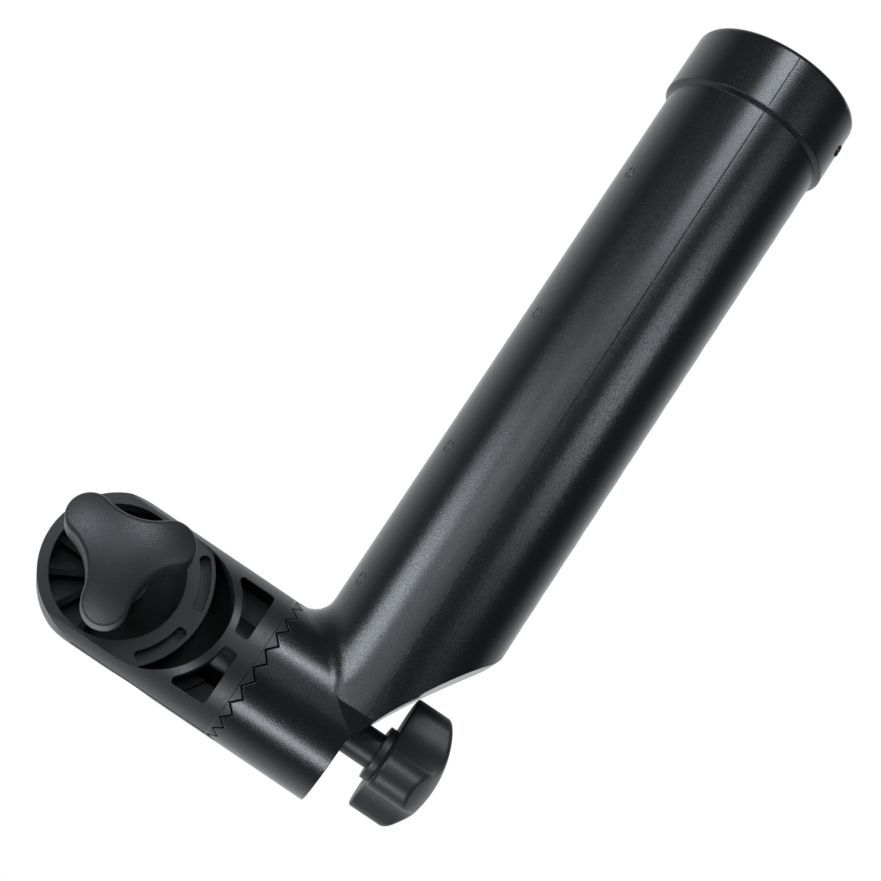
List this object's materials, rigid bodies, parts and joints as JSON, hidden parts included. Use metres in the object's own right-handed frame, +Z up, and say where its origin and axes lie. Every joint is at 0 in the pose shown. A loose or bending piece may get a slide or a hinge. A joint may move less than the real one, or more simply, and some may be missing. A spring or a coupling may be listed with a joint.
{
  "type": "rod holder",
  "caption": "Rail-clamp rod holder: a moulded tube on a toothed swivel elbow, tilted in steps and held to a round rail by a screw clamp with three-lobed knobs.",
  "frame": {"origin": "centre of the clamped rail, level with the swivel axis", "axes": "+Z up along the tube and the rail, +X from the clamp screw to the tube, -Y the front, where the clamp knob is"},
  "size_m": [0.1277, 0.0818, 0.2576],
  "materials": {
    "tube_plastic": "satin, fine moulded texture",
    "clamp_plastic": "matte moulded",
    "knob_plastic": "satin moulded",
    "steel": "turned, bright"
  },
  "bodies": {
    "clamp": {"clamp_body": "clamp_plastic", "pivot_nut": "steel", "clamp_washer": "steel"},
    "jaw": {"clamp_jaw": "clamp_plastic", "jaw_nut": "steel"},
    "clamp_knob": {"clamp_knob": "knob_plastic", "clamp_screw": "steel"},
    "swivel_stop": {"pivot_washer": "steel"},
    "tube": {"rod_tube": "tube_plastic"},
    "pivot_knob": {"pivot_knob": "knob_plastic", "pivot_screw": "steel"}
  },
  "joints": [
    {"name": "jaw_slide", "type": "slide", "parent": "clamp", "child": "jaw", "axis": [0, 1, 0], "range_m": [-0.0015, 0.006]},
    {"name": "clamp_knob_turn", "type": "hinge", "parent": "clamp", "child": "clamp_knob", "pos_m": [-0.0201, -0.04, 0], "axis": [0, -1, 0], "range_deg": [-432, 1728]},
    {"name": "swivel_release", "type": "slide", "parent": "clamp", "child": "swivel_stop", "axis": [1, 0, 0], "range_m": [0, 0.003]},
    {"name": "pivot_knob_turn", "type": "hinge", "parent": "swivel_stop", "child": "pivot_knob", "pos_m": [0.07, -0.012, 0], "axis": [1, 0, 0], "range_deg": [0, 864]},
    {"name": "tube_tilt", "type": "hinge", "parent": "swivel_stop", "child": "tube", "pos_m": [0.0576, -0.012, 0], "axis": [1, 0, 0], "continuous": true}
  ],
  "couplings": [
    {"joint": "clamp_knob_turn", "follows": "jaw_slide", "rad_per_m": 5026.5},
    {"joint": "pivot_knob_turn", "follows": "swivel_release", "rad_per_m": 5026.5}
  ]
}
